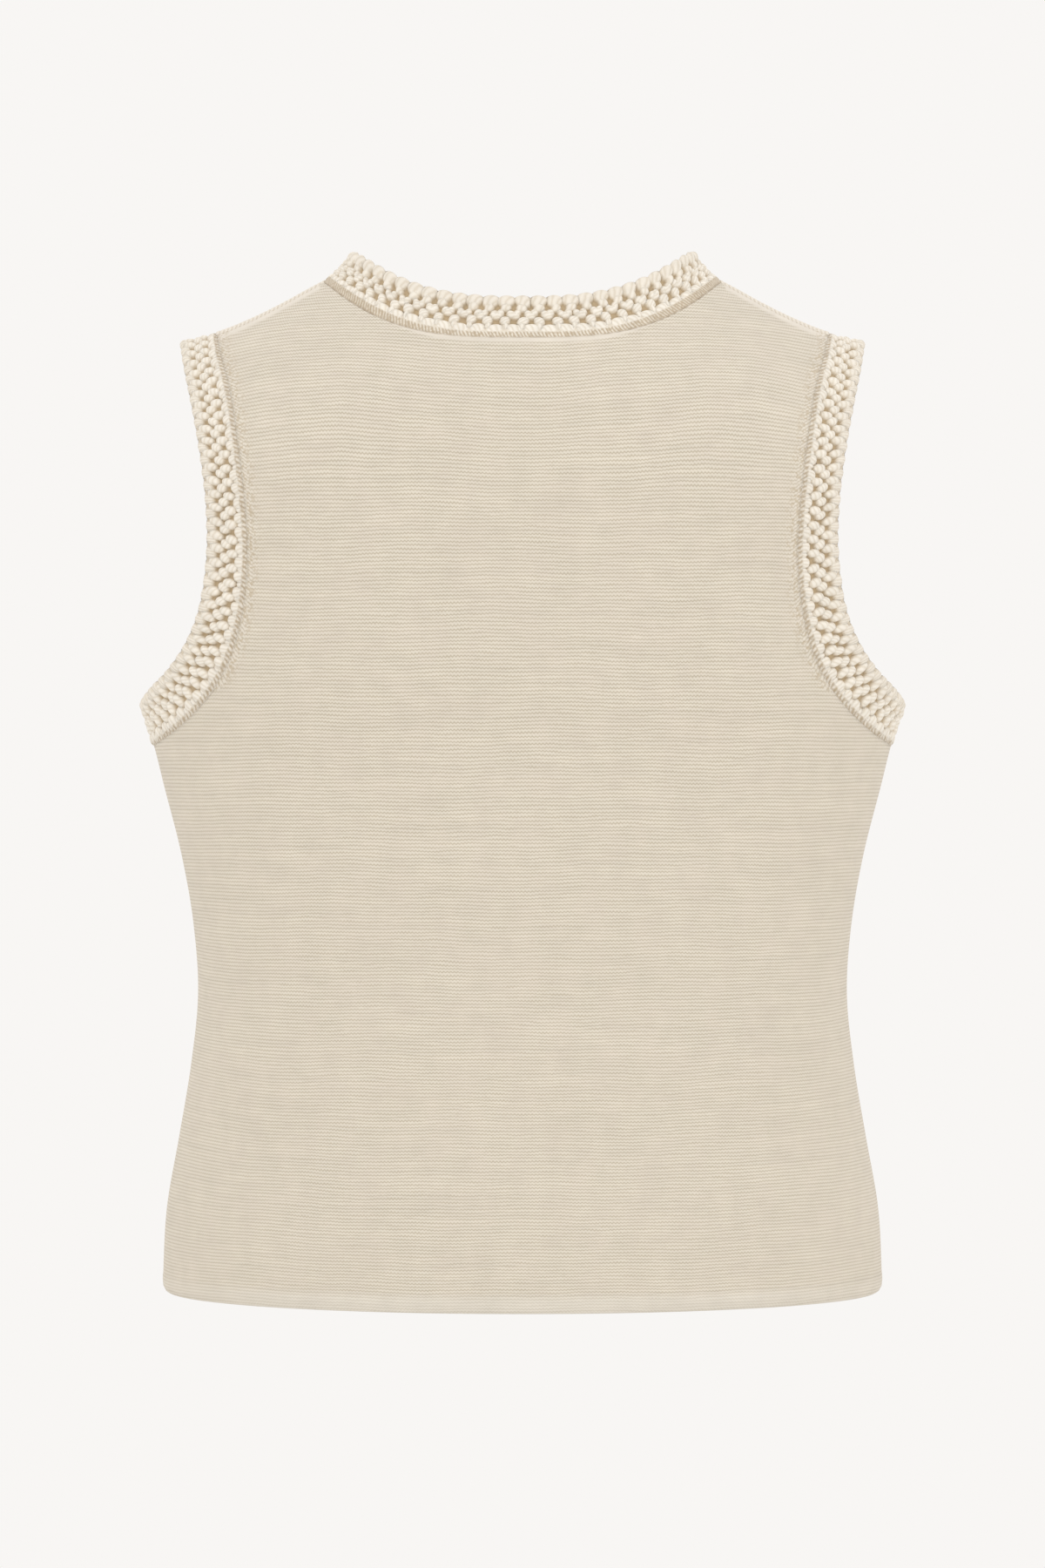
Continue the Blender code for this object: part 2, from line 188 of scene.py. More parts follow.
def topHeight(x, side):  # neck seam, then shoulder seam
    low, corner = side["neckZ"], shoulder["z"][0] - side["shoulderDrop"]
    neckLine = low + (corner - low) * (x / neck["halfWidth"]) ** side["neckPower"]
    return np.where(x < neck["halfWidth"], neckLine, foldHeight(x) - side["shoulderDrop"])


def upperGrid(side):
    edge = armholeLine(armholeShares(side), side, "seam")
    wide, high = edge[:, :1], edge[:, 2:]
    corner = neck["halfWidth"] / wide[-1, 0]
    columns = corner * np.sin(np.linspace(0, math.pi / 2, panel["neckColumns"] + 1))
    columns = np.append(columns, np.linspace(corner, 1, panel["shoulderColumns"] + 1)[1:])
    rise = topHeight(columns * wide[-1], side) - high[-1]
    return wide * columns, high + (high - high[0]) / (high[-1] - high[0]) * rise


def lowerGrid(x, z):
    fold = panel["hemZ"] + panel["hemTurn"]
    share = (x / figureSize("halfWidth", z))[None]
    step = np.linspace(0, 1, panel["lowerRows"] + 1)[:-1, None]
    body = fold + 0.5 + step * (z - fold - 0.5)
    hem = np.array(panel["hemRows"])[:, None] + panel["hemZ"] + 0 * share
    z = np.concatenate([hem, body])
    return share * figureSize("halfWidth", z), z


def panelGrid(side):  # half a panel, as rows of points from its middle to its side
    x, z = upperGrid(side)
    under = armholeLine(underarmShares(side)[1:], side, "seam")
    turnX, turnZ = np.append(x[0], under[:, 0]), np.append(z[0], under[:, 2])
    lowX, lowZ = lowerGrid(turnX, turnZ)
    gone = ((0, 0), (0, panel["sideColumns"]))
    x = np.concatenate([lowX, turnX[None], np.pad(x[1:], gone, constant_values=np.nan)])
    z = np.concatenate([lowZ, turnZ[None], np.pad(z[1:], gone, constant_values=np.nan)])
    y = surfaceY(x, z, side)
    y = side["sign"] * np.maximum(np.abs(y), panel["sideGap"] / 2)
    return np.stack([x, y, z], axis=2)


def hemGrown(points):  # the turned hem stands a little proud, and its fold curls in
    x, y, z = np.moveaxis(points, 2, 0)
    up = z - panel["hemZ"]
    grow = 1 + np.interp(up, panel["hemUp"], panel["hemOut"]) / panel["hemReach"]
    return np.stack([x * grow, y * grow, z], axis=2)


def mirrored(half):
    left = half[:, :0:-1] * (-1, 1, 1)
    return np.concatenate([left, half], axis=1)


def neckSeam(side):
    grid = panelGrid(side)
    half = np.concatenate([grid[-1], unit(grid[-1] - grid[-2])], axis=1)[:panel["neckColumns"] + 1]
    fold = (neck["halfWidth"], 0, shoulder["z"][0], *neck["foldWay"])
    half = np.concatenate([half, [fold]])
    return np.concatenate([half[:0:-1] * (-1, 1, 1, -1, 1, 1), half])


def neckEdge(side):
    turn = np.linspace(-math.pi / 2, math.pi / 2, 400)
    low = side["edgeZ"]
    x = neck["edgeHalfWidth"] * np.sin(turn)
    y = side["sign"] * side["edgeDepth"] * np.abs(np.cos(turn)) ** side["edgeRound"]
    z = low + (neck["edgeTop"] - low) * np.abs(np.sin(turn)) ** side["edgePower"]
    return np.stack([x, y, z], axis=1)


def neckRing(look):
    seam, edge, cells = [], [], 0
    for side, way in ((back, 1), (front, -1)):
        count = round(repeatLength(neckEdge(side))[-1] / look["repeat"])
        cells += count
        seam.append(evenly(neckSeam(side), count * look["perRepeat"])[::way][:-1])
        edge.append(evenly(neckEdge(side), count * look["perRepeat"])[::way][:-1])
    return np.concatenate(seam), np.concatenate(edge), cells


def armholeSeam(side):
    grid = panelGrid(side)
    turn, last = len(grid) - panel["armholeRows"] - 1, panel["neckColumns"] + panel["shoulderColumns"]
    upper, under = grid[turn:, last], grid[turn, last:]
    outwards = unit(upper - grid[turn:, last - 1])
    upwards = unit(under - grid[turn - 1, last:])
    outwards[0] += upwards[0]
    top = upper[-1, 0]
    fold = (top, 0, foldHeight(top))
    way = unit(np.array([top - neck["halfWidth"], 0, foldHeight(top) - shoulder["z"][0]]))
    line = np.concatenate([[fold], upper[::-1], under[1:]])
    line[-1, 1] = 0
    return np.concatenate([line, np.concatenate([[way], outwards[::-1], upwards[1:]])], axis=1)


def armholeRing(look, acrossX):
    seam, edge, cells = [], [], 0
    for side, way in ((back, 1), (front, -1)):
        line = armholeSeam(side)
        count = round(repeatLength(line)[-1] / look["repeat"])
        cells += count
        share = np.concatenate([[0.0], armholeShares(side)[::-1], underarmShares(side)[1:]])
        known = evenly(np.column_stack([line, share]), count * look["perRepeat"])
        free = armholeLine(known[:, 6], side, "edge")
        seam.append(known[::way, :6][:-1])
        edge.append(free[::way][:-1])
    seam, edge = np.concatenate(seam), np.concatenate(edge)
    return seam * (acrossX, 1, 1, acrossX, 1, 1), edge * (acrossX, 1, 1), cells


print("vest: sizes ready")


def chance(number, salt):  # the same odd value for the same number every time, -1 to 1
    return np.sin(number * 12.9898 + salt * 78.233) * 43758.5453 % 1 * 2 - 1


def waleLength(x, z, side):  # distance round the body from the middle, at one height
    share = 1 - (1 - np.linspace(0, 1, 28)) ** 2
    xs = np.abs(x)[..., None] * share
    ys = surfaceY(xs, z[..., None] + 0 * share, side)
    return np.sign(x) * np.sqrt(np.diff(xs) ** 2 + np.diff(ys) ** 2).sum(axis=-1)


def courseCount(z):
    heights = np.linspace(panel["hemZ"], 60, 1200)
    counts = np.cumsum((heights[1] - heights[0]) / np.interp(heights, panel["courseZ"], panel["course"]))
    return np.interp(z, heights, counts)


def courseRise(x, z):  # how much higher than level a row of stitches lies
    reach = np.abs(x)
    total = 0
    for up, middle, spread, start, over, power in panel["rises"]:
        here = np.exp(-((z - middle) / spread) ** 2)
        total = total + up * here * np.clip((reach - start) / over, 0, 1) ** power
    wander = 0.35 * np.sin(x / 23 + z / 41) + 0.25 * np.sin(x / 9.5 - z / 17)  # no row is quite level
    wander += 0.5 * np.exp(-((z + 383) / 12) ** 2) * np.sin(x / 16)
    return total + wander


def clothRelief(x, z, side):  # soft folds and puckers, outwards
    reach = np.abs(x)
    slow = panel["sway"] * np.sin(x / 34 + z / 61 + side["sign"]) + panel["ripple"] * np.sin(x / 19 - z / 37)
    waist = panel["waistFold"] * np.exp(-((z + 345) / 45) ** 2) * np.clip((reach - 95) / 50, 0, 1)
    waist = waist * np.sin(z / 6.5 + reach / 21)
    slant = (z + 232 + (reach - 128) * 0.9) / 17  # the fold runs down towards the underarm
    bust = panel["bustFold"] * np.exp(-((reach - 128) / 26) ** 2 - slant ** 2)
    pucker = panel["pucker"] * np.exp(-((x + 52) / 30) ** 2 - ((z + 66) / 14) ** 2) * np.sin(x / 3.2 + z / 9)
    return slow + waist + bust + pucker


def startGrid(name, columns, rows, points):  # a grid whose corners lie at these points
    bpy.ops.object.select_all(action="DESELECT")
    bpy.ops.mesh.primitive_grid_add(x_subdivisions=columns, y_subdivisions=rows, size=1)
    made = bpy.context.object
    made.name = name
    made.data.name = name
    made.data.vertices.foreach_set("co", (points * mm).astype(np.float32).ravel())
    return made, made.data


def setUv(mesh, table):
    layer = mesh.uv_layers.active or mesh.uv_layers.new(name="stitches")
    layer.name = "stitches"
    layer.data.foreach_set("uv", np.ascontiguousarray(table, np.float32).ravel())


def loopVertices(mesh):
    index = np.zeros(len(mesh.loops), np.int32)
    mesh.loops.foreach_get("vertex_index", index)
    return index


def setShade(mesh, name, values):
    layer = mesh.attributes.new(name, "FLOAT", "POINT")
    layer.data.foreach_set("value", np.ascontiguousarray(values, np.float32).ravel())


def cutAway(mesh, gone):  # the part of the grid beyond the armholes
    cut = bmesh.new()
    cut.from_mesh(mesh)
    cut.verts.ensure_lookup_table()
    beyond = [cut.verts[i] for i in np.flatnonzero(gone.ravel())]
    bmesh.ops.delete(cut, geom=beyond, context="VERTS")
    cut.to_mesh(mesh)
    cut.free()


def addWall(made, thickness):  # inwards from the outer face
    wall = made.modifiers.new("wall", "SOLIDIFY")
    wall.thickness = thickness * mm
    wall.offset = -1
    return wall


def buildPanel(name, side, materials):
    points = mirrored(panelGrid(side)) * (-side["sign"], 1, 1)
    rows, columns = points.shape[0] - 1, points.shape[1] - 1
    x, z = points[..., 0], points[..., 2]
    kept = ~np.isnan(x)
    flatX, flatZ = np.where(kept, x, 0), np.where(kept, z, -100)
    wales = waleLength(flatX, flatZ, side) / panel["wale"]
    last = np.abs(np.where(kept[:, -1:], points[:, -1:, 0], np.nanmax(np.abs(x), axis=1, keepdims=True)))
    toArmhole = np.where(flatZ > panel["underarmZ"], last - np.abs(flatX), panel["farAway"])
    rise = courseRise(flatX, flatZ) + panel["climb"] * np.clip(panel["climbWithin"] - toArmhole, 0, None)
    courses = courseCount(flatZ - rise)
    top = topHeight(np.abs(flatX), side)
    overShoulder = np.clip((np.abs(flatX) - neck["halfWidth"] + 3) / 4, 0, 1)
    toSide = np.abs(np.where(kept, points[..., 1], 99))
    fade = np.clip((top - flatZ) / panel["fadeTop"], 0, 1)
    fade = fade * np.clip((flatZ - panel["foldsFrom"]) / panel["fadeHem"], 0, 1)
    fade = fade * np.clip(toArmhole / panel["fadeArmhole"], 0, 1) * np.clip(toSide / panel["fadeSide"], 0, 1)
    points = hemGrown(points)
    relief = clothRelief(flatX, flatZ, side) * fade
    roll = np.exp(-((top - flatZ - panel["rollAt"]) / panel["rollWidth"]) ** 2)
    roll = panel["rollHeight"] * roll * overShoulder
    points[..., 1] += side["sign"] * relief
    points[..., 2] += roll
    made, mesh = startGrid(name, columns, rows, np.nan_to_num(points))
    stitch = np.stack([wales, courses], axis=2).reshape(-1, 2)
    setUv(mesh, stitch[loopVertices(mesh)])
    setShade(mesh, "below", top - flatZ + 30 * (1 - overShoulder))
    slope = (topHeight(np.abs(flatX) + 1, side) - topHeight(np.abs(flatX), side)) * (1 - overShoulder)
    faded = 3 * np.clip((np.abs(flatX) - 40) / 35, 0, 1)  # the smooth row ends beside the neck's middle
    setShade(mesh, "belowNeck", (top - flatZ) / np.sqrt(1 + slope ** 2) + faded + 30 * overShoulder)
    setShade(mesh, "aboveHem", flatZ - panel["hemZ"])
    setShade(mesh, "toArmhole", toArmhole)
    cutAway(mesh, ~kept)
    for material in materials:
        mesh.materials.append(material)
    mesh.shade_smooth()
    wall = addWall(made, panel["wall"])
    wall.use_quality_normals = True
    wall.material_offset = 1
    wall.material_offset_rim = 0
    bpy.ops.object.modifier_apply(modifier="wall")
    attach(made, "root")
    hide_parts(name)
    return made


neckBand = {  # lumps: place along in repeats, mm from the free edge, half sizes, height, strands, fan
    "repeat": 7.4, "perRepeat": 16, "outerRows": 50, "innerRows": 18, "width": 22.5, "scallop": 1.35,
    "flatWidth": 22.5, "flatLength": 700,
    "lumps": [
        (0.50, 2.3, 0.57, 3.6, 2.7, 1.2, 0.6),
        (0.50, 6.2, 0.34, 2.1, 2.6, 0.8, 0.3),
        (0.20, 8.8, 0.24, 2.0, 2.5, 0.3, 1.0),
        (-0.20, 9.0, 0.24, 2.0, 2.4, 0.3, 1.0),
        (0.00, 10.2, 0.33, 1.9, 2.6, 0.3, 1.0),
        (0.50, 12.9, 0.34, 2.5, 2.9, 0.9, 1.4),
        (0.50, 15.8, 0.20, 2.4, 2.5, 0.9, 0.0),
        (0.00, 17.2, 0.47, 2.7, 2.9, 1.4, -0.6),
    ],
    "lumpsEnd": 2.0, "odd": 0.7,
    "fringeFrom": [0, 0.4, 1.0, 1.5, 2.0, 3.0, 4.6, 6.2],  # mm from the seam
    "fringeUp": [-0.55, 0.05, 0.3, 0.35, 0.5, 0.95, 1.1, -1.6],
    "fringe": (0.6, 3.8), "fringeStrands": 5, "specks": 0.6, "seamLine": (1.5, 0.85),
    # painted shade: tan along the free edge, and darker beside the seam (none here)
    "nearShoulder": 1, "edgeShade": 0.16, "seamShade": 1.0,
}

armholeBand = {
    "repeat": 7.2, "perRepeat": 16, "outerRows": 50, "innerRows": 18, "width": 20.6, "scallop": 0.7,
    "flatWidth": 20.6, "flatLength": 620,
    "lumps": [
        (0.00, 2.2, 0.42, 3.2, 2.7, 1.8, 0.4),
        (0.50, 5.2, 0.36, 3.8, 2.9, 0.4, 1.5),
        (0.05, 9.8, 0.36, 2.7, 2.9, 0.8, 1.5),
        (0.66, 12.9, 0.34, 3.1, 2.9, 0.4, 1.5),
        (0.18, 17.4, 0.43, 3.1, 2.8, 1.6, 0.5),
        (0.68, 18.1, 0.22, 2.3, 2.3, 0.8, 0.3),
    ],
    "lumpsEnd": 0.6, "odd": 0.6,
    "fringeFrom": [0, 0.25, 0.7, 1.4, 2.2, 3.8],
    "fringeUp": [-0.35, 0.0, 0.1, 0.05, -0.2, -1.6],
    "fringe": (0.2, 2.8), "fringeStrands": 3, "specks": 0.55, "seamLine": (1.0, 0.25),
    # painted shade: tan along the free edge, and darker beside the seam
    "nearShoulder": 0, "edgeShade": 0.14, "seamShade": 0.9,
}

crochet = {  # for both bands; the odd values are how far one lump differs from the next
    "pitFloor": -1.6, "lead": 0.4, "tuck": -0.35, "softening": 40, "middle": 1.0,
    "backRelief": 0.3, "backAlong": 0.37, "backAcross": 0.6,
    "oddPlace": 0.07, "oddLength": 0.12, "oddAcross": 0.45, "oddLean": 0.35, "oddHeight": 0.16,
}


def softened(vectors, rounds):
    for _ in range(rounds):
        vectors = (np.roll(vectors, 1, axis=0) + 2 * vectors + np.roll(vectors, -1, axis=0)) / 4
    return unit(vectors)


def lumpHeight(along, fromEdge, look, cells, salt):  # the yarn's relief over the pits, and its strands
    total = np.zeros_like(along)
    strand, tallest, core = (np.zeros_like(along) for _ in range(3))
    for number, (place, middle, halfAlong, halfAcross, height, strands, fan) in enumerate(look["lumps"]):
        cell = np.round(along - place)
        odd, size = cell % cells + 17 * number + salt, look["odd"]
        off = (along - place - cell - look["oddPlace"] * size * chance(odd, 1)) / halfAlong
        off = off / (1 + look["oddLength"] * size * chance(odd, 3))
        across = (fromEdge - middle - look["oddAcross"] * size * chance(odd, 2)) / halfAcross
        lean = look["oddLean"] * size * chance(odd, 5)
        dome = 1 - np.abs(off + lean * across) ** 2.2 - np.abs(across) ** 2.3
        lump = height * (1 + look["oddHeight"] * size * chance(odd, 4)) * np.sqrt(np.clip(dome, 0, 1))
        turned = off * strands * (1 + 0.35 * across) + across * fan + 0.5 * chance(odd, 6)
        strand = np.where(lump > tallest, turned, strand)
        core = np.where(lump > tallest, np.clip(dome * 2.2, 0, 1), core)
        tallest = np.maximum(tallest, lump)
        total += lump ** 8
    return total ** (1 / 8), strand, core


def bandLine(seam, edge, look):  # the curved section of a band at every place round it
    start, heading = seam[:, :3], seam[:, 3:]
    around = softened(np.roll(start, -1, axis=0) - np.roll(start, 1, axis=0), look["softening"])
    heading = softened(heading - around * (heading * around).sum(axis=1, keepdims=True), look["softening"])
    edgeAround = softened(np.roll(edge, -1, axis=0) - np.roll(edge, 1, axis=0), look["softening"])
    bend = start + heading * np.linalg.norm(edge - start, axis=1, keepdims=True) * look["lead"]
    return start + heading * look["tuck"], bend, edge, around, edgeAround


def bandSections(look, seam, edge, cells, turn, salt):
    a, b, c, around, edgeAround = (p[:, None] for p in bandLine(seam, edge, look))
    outer = np.linspace(0, 1, look["outerRows"])
    inner = np.linspace(1, 0, look["innerRows"])[1:-1]
    across = np.concatenate([outer, inner])[None, :, None]  # 0 at the free edge, 1 at the seam
    share = 1 - across
    lead, middle = look["lead"], look["middle"]
    share = (np.sqrt(lead ** 2 + (1 - 2 * lead) * share) - lead) / (1 - 2 * lead)
    points = a * (1 - share) ** 2 + b * 2 * share * (1 - share) + c * share ** 2
    heads = unit((b - a) * (1 - share) + (c - b) * share)
    out = unit(np.cross(around * across + edgeAround * share, heads)) * turn
    along = np.arange(len(seam))[:, None] / look["perRepeat"] + 0 * across[..., 0]
    across = across[..., 0] + 0 * along
    fromEdge = across * look["width"]
    toSeam = look["width"] - fromEdge
    isOuter = np.arange(across.shape[1]) < look["outerRows"]
    height, strand, core = lumpHeight(along, fromEdge, look, cells, salt)
    moved = along + look["backAlong"], fromEdge + look["backAcross"]  # other lumps show on the inside
    behind, behindStrand, behindCore = lumpHeight(*moved, look, cells, salt + 5)
    fringe = np.interp(toSeam, look["fringeFrom"], look["fringeUp"])
    fringe += 0.1 * chance(np.round(along * 2) % (2 * cells), salt) * np.clip(toSeam - 1.5, 0, 1)
    lip = np.sqrt(1 - (1 - np.clip(fromEdge / 2.4, 0, 1)) ** 2)
    fading = np.clip((toSeam - look["lumpsEnd"] / 2) / look["lumpsEnd"], 0, 1)
    face = np.maximum(look["pitFloor"] + height * fading, fringe)
    face = (face + middle) * lip - middle
    reverse = -middle - (0.8 + look["backRelief"] * behind) * lip * np.clip(0.4 + toSeam / 3, 0, 1)
    up = np.where(isOuter, face, reverse)
    wave = np.abs(np.sin(math.pi * (along - look["lumps"][0][0] + 0.5))) ** 0.7
    shift = look["scallop"] * (wave - 0.55) * np.clip(1 - fromEdge / 5, 0, 1)
    points = points + heads * shift[..., None] + out * up[..., None]
    # painted shade in the pits between the lumps, and fainter on the inner face
    hollow = np.clip(1 - height / 2.1, 0, 1) * np.clip((toSeam - look["fringe"][1]) / 1.2, 0, 1)
    hollow = hollow * np.clip(fromEdge / 2 - 0.6, 0, 1)
    hollow = np.where(isOuter, hollow, np.clip(1 - behind / 1.5, 0, 1) * 0.6)
    strand, core = np.where(isOuter, strand, behindStrand), np.where(isOuter, core, behindCore)
    return points, across, hollow, strand, core


def closedRing(table):  # the first row and column again after the last
    table = np.concatenate([table, table[:1]])
    return np.concatenate([table, table[:, :1]], axis=1)


def buildBand(name, look, ring, turn, finish, salt):
    look = {**crochet, **look}
    seam, edge, cells = ring
    tables = bandSections(look, seam, edge, cells, turn, salt)
    points, across, hollow, strand, core = (closedRing(table) for table in tables)
    count, rows = across.shape[0] - 1, across.shape[1] - 1
    made, mesh = startGrid(name, rows, count, points)
    along = np.arange(count + 1)[:, None] / look["perRepeat"] + 0 * across
    stitch = np.stack([along, across * look["width"] / look["repeat"]], axis=2).reshape(-1, 2)
    setUv(mesh, stitch[loopVertices(mesh)])
    setShade(mesh, "hollow", hollow)
    setShade(mesh, "strand", strand)
    setShade(mesh, "core", core)
    setShade(mesh, "fromEdge", across * look["width"])
    ringMesh = bmesh.new()
    ringMesh.from_mesh(mesh)
    bmesh.ops.remove_doubles(ringMesh, verts=ringMesh.verts, dist=0.000001)
    bmesh.ops.recalc_face_normals(ringMesh, faces=ringMesh.faces)
    ringMesh.to_mesh(mesh)
    ringMesh.free()
    mesh.materials.append(finish)
    mesh.shade_smooth()
    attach(made, "root")
    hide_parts(name)
    return made


strip = {"start": 97.4, "past": 0.6, "drop": 1.4, "raise": 0.15, "crown": 1.0, "wall": 1.5, "stroke": 2.06,
         "ridge": 0.35, "columns": 260, "rows": 30, "flatWidth": 27, "flatLength": 60}


def buildStrip(name, acrossX, finish):
    outer = upperGrid(back)[0][-1, -1]
    x = np.linspace(strip["start"], outer + strip["past"], strip["columns"] + 1)
    rear, fore = (surfaceY(x, foldHeight(x) - strip["drop"], s) for s in (back, front))
    share = np.linspace(0, 1, strip["rows"] + 1)[:, None]
    y = rear + share * (fore - rear)
    drop = np.where(y < 0, foldDrop(x, y, back), foldDrop(x, y, front))
    bead = np.sin(math.pi * share) ** 0.9
    stroke = (x - x[0]) / strip["stroke"]
    ridge = strip["ridge"] * (np.abs(np.sin(math.pi * stroke)) ** 0.6 - 0.6)
    raised = strip["raise"] + (strip["crown"] + ridge) * bead
    points = np.stack([x + 0 * y, y, foldHeight(x) - drop + raised], axis=2)
    uv = np.stack([stroke + 0 * y, share + 0 * y], axis=2)
    if acrossX < 0:
        points, uv = points[:, ::-1] * (-1, 1, 1), uv[:, ::-1]
    made, mesh = startGrid(name, strip["columns"], strip["rows"], points)
    setUv(mesh, uv.reshape(-1, 2)[loopVertices(mesh)])
    mesh.materials.append(finish)
    mesh.shade_smooth()
    addWall(made, strip["wall"])
    bpy.ops.object.modifier_apply(modifier="wall")
    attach(made, "root")
    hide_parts(name)
    return made


def startMaterial(name, color, roughness, sheen):
    made = bpy.data.materials.new(name)
    made.use_nodes = True
    shader = made.node_tree.nodes["Principled BSDF"]
    shader.inputs["Base Color"].default_value = (*color, 1)
    shader.inputs["Roughness"].default_value = roughness
    shader.inputs["Specular IOR Level"].default_value = 0.25
    shader.inputs["Sheen Weight"].default_value = sheen
    shader.inputs["Sheen Roughness"].default_value = 0.6
    return made, made.node_tree, shader


def calc(tree, operation, *values):
    made = tree.nodes.new("ShaderNodeMath")
    made.operation = operation
    for socket, value in zip(made.inputs, values):
        if isinstance(value, (int, float)):
            socket.default_value = value
        else:
            tree.links.new(value, socket)
    return made.outputs[0]


def times(tree, first, second):
    return calc(tree, "MULTIPLY", first, second)


def plus(tree, first, second):
    return calc(tree, "ADD", first, second)


def minus(tree, first, second):
    return calc(tree, "SUBTRACT", first, second)


def arches(tree, place):  # round arches, one to each whole number
    return calc(tree, "ABSOLUTE", calc(tree, "SINE", times(tree, place, math.pi)))


def mixed(tree, share, first, second):
    made = tree.nodes.new("ShaderNodeMix")
    made.data_type = "RGBA"
    tree.links.new(share, made.inputs["Factor"])
    for socket, value in ((made.inputs[6], first), (made.inputs[7], second)):
        if isinstance(value, tuple):
            socket.default_value = (*value, 1)
        else:
            tree.links.new(value, socket)
    return made.outputs[2]


def uvPlaces(tree):
    place = tree.nodes.new("ShaderNodeUVMap")
    place.uv_map = "stitches"
    parts = tree.nodes.new("ShaderNodeSeparateXYZ")
    tree.links.new(place.outputs[0], parts.inputs[0])
    return parts.outputs[0], parts.outputs[1]


def noise(tree, scale, detail, place=None, stretch=(1, 1, 1)):
    made = tree.nodes.new("ShaderNodeTexNoise")
    made.inputs["Scale"].default_value = scale
    made.inputs["Detail"].default_value = detail
    mapping = tree.nodes.new("ShaderNodeMapping")
    mapping.inputs["Scale"].default_value = stretch
    if place is None:
        source = tree.nodes.new("ShaderNodeTexCoord").outputs["Object"]
    else:
        source = tree.nodes.new("ShaderNodeUVMap")
        source.uv_map = place
        source = source.outputs[0]
    tree.links.new(source, mapping.inputs["Vector"])
    tree.links.new(mapping.outputs[0], made.inputs["Vector"])
    return made.outputs["Fac"]


def shadeOf(tree, name):
    made = tree.nodes.new("ShaderNodeAttribute")
    made.attribute_name = name
    return made.outputs["Fac"]


def ranged(tree, value, fromLow, fromHigh, toLow, toHigh):
    made = tree.nodes.new("ShaderNodeMapRange")
    tree.links.new(value, made.inputs["Value"])
    for key, number in (("From Min", fromLow), ("From Max", fromHigh), ("To Min", toLow), ("To Max", toHigh)):
        made.inputs[key].default_value = number
    return made.outputs["Result"]


def colored(tree, shader, color, tone):  # the base colour, lighter or darker by the tone
    shade = tree.nodes.new("ShaderNodeVectorMath")
    shade.operation = "SCALE"
    tree.links.new(color, shade.inputs[0])
    tree.links.new(tone, shade.inputs["Scale"])
    tree.links.new(shade.outputs[0], shader.inputs["Base Color"])


def bumped(tree, shader, height, depth, strength):
    made = tree.nodes.new("ShaderNodeBump")
    made.inputs["Strength"].default_value = strength
    made.inputs["Distance"].default_value = depth * mm
    tree.links.new(height, made.inputs["Height"])
    tree.links.new(made.outputs[0], shader.inputs["Normal"])


knitLook = {
    "bright": (0.785, 0.727, 0.623), "dark": (0.505, 0.432, 0.317),  # tops of the stitches, and painted shade in the grooves between them
    "roughness": 0.92, "sheen": 0.12, "depth": 0.45, "bump": 0.3, "mottle": 0.05,
    "wave": 0.135, "wobble": 0.3, "lean": 2.4, "bead": 0.89,  # shape of a row, in rows
    "vee": 1.6,  # slope of the stitches inside
    "blush": (0.745, 0.655, 0.575), "blushShare": 0.28, "blushScale": 75, "mottleScale": 95,
    "even": (0.705, 0.641, 0.534), "evenAtSide": 0.35, "calmAtSide": 0.4, "side": (0.110, 0.165),
    "turned": (0.785, 0.745, 0.665), "turnedShare": 0.5, "turnedFade": 0.6, "hemLine": 0.05,
    "roll": (0.838, 0.774, 0.682), "rollShare": 0.8, "rollHeight": 0.8, "paleAndPaintedLightBesideArmhole": 0.35,
    # dot is the painted shade in small gaps between stitches
    "dot": (0.540, 0.440, 0.300), "dotsBelow": 1.9, "specks": 0.6, "speckScale": 620,
}


def fromMiddleLine(tree):  # distance from the middle of the body, in metres
    parts = tree.nodes.new("ShaderNodeSeparateXYZ")
    tree.links.new(tree.nodes.new("ShaderNodeTexCoord").outputs["Object"], parts.inputs[0])
    return calc(tree, "ABSOLUTE", parts.outputs[0])


def specks(tree, strength):  # painted shade in irregular small gaps between stitches
    return ranged(tree, noise(tree, knitLook["speckScale"], 1), 0.50, 0.60, 0, strength)


def linkDots(tree, below):  # painted shade in small gaps under the linked edge, one to each of its strokes
    reach = fromMiddleLine(tree)
    stroke = calc(tree, "DIVIDE", minus(tree, reach, strip["start"] * mm), strip["stroke"] * mm)
    row = ranged(tree, calc(tree, "ABSOLUTE", minus(tree, below, knitLook["dotsBelow"])), 0.7, 0.3, 0, 1)
    return times(tree, row, ranged(tree, arches(tree, stroke), 0.75, 0.35, 0.1, 0.8))


def stitchHeight(tree, wale, course, jersey):  # one row of stitches to each course, 0 to 1
    turn = times(tree, wale, 2 * math.pi)
    if jersey:  # the smooth face inside, columns of small V's
        half = calc(tree, "PINGPONG", wale, 0.5)
        slant = plus(tree, course, times(tree, half, knitLook["vee"]))
        row = calc(tree, "SINE", times(tree, calc(tree, "FRACT", slant), math.pi))
        return times(tree, row, ranged(tree, half, 0, 0.1, 0.4, 1))
    calm = ranged(tree, fromMiddleLine(tree), *knitLook["side"], 1, knitLook["calmAtSide"])
    wave = times(tree, calc(tree, "SINE", turn), knitLook["wave"])
    wobble = noise(tree, 1.0, 1, "stitches", (0.15, 0.5, 1))
    wobble = ranged(tree, wobble, 0, 1, -knitLook["wobble"], knitLook["wobble"])
    moved = plus(tree, course, times(tree, plus(tree, wave, wobble), calm))
    part = calc(tree, "FRACT", moved)
    row = calc(tree, "POWER", calc(tree, "SINE", times(tree, part, math.pi)), 0.75)
    lean = plus(tree, turn, times(tree, part, knitLook["lean"]))
    return times(tree, row, ranged(tree, calc(tree, "SINE", lean), -1, 1, knitLook["bead"], 1.0))


